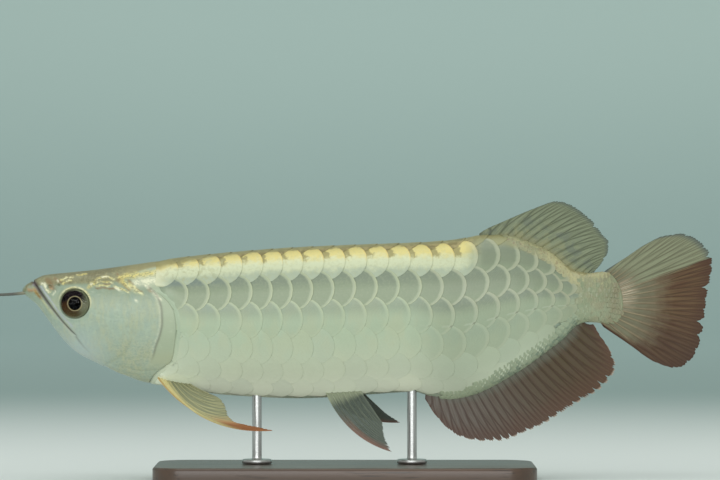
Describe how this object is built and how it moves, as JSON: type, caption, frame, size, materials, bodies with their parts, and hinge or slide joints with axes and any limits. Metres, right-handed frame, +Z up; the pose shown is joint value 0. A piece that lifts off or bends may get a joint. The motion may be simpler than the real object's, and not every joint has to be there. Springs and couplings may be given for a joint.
{
  "type": "asian arowana fish model",
  "caption": "Life-size still model of a swimming Asian arowana with large raised scales and rayed fins, held by two short rods on a flat base.",
  "frame": {"origin": "centre of the underside of the stand's base, on the surface it stands on", "axes": "+X along the fish from its head to its tail, +Y to the fish's right side, +Z up"},
  "size_m": [0.3754, 0.0854, 0.1391],
  "materials": {
    "scales": "large pale silver-green scales with gold rims, glossy",
    "head_skin": "smooth bony head, olive brown on top, silver green on the cheek",
    "gill_plates": "smooth silver-green gill covers with a gold cast",
    "olive_fins": "olive-grey rayed fin with dark mottles",
    "red_fins": "red-brown rayed fin",
    "clear_fins": "grey translucent rayed fin with cream and orange leading rays",
    "barbel": "dark grey-olive skin",
    "eye": "dark glossy eye with a thin gold ring round the pupil",
    "base_wood": "dark stained wood, satin",
    "rod_steel": "brushed steel"
  },
  "bodies": {
    "root": {"head": "head_skin", "lower_jaw": "head_skin", "trunk_front": "scales", "trunk_middle": "scales", "trunk_rear": "scales", "tail_stalk": "scales", "gill_cover_left": "gill_plates", "gill_cover_right": "gill_plates", "dorsal_fin": "olive_fins", "anal_fin": "red_fins", "caudal_fin": "red_fins", "pectoral_fin_left": "clear_fins", "pectoral_fin_right": "clear_fins", "pelvic_fin_left": "clear_fins", "pelvic_fin_right": "clear_fins", "barbel_left": "barbel", "barbel_right": "barbel", "eye_left": "eye", "eye_right": "eye", "stand_base": "base_wood", "stand_rod_front": "rod_steel", "stand_rod_rear": "rod_steel"}
  },
  "joints": []
}
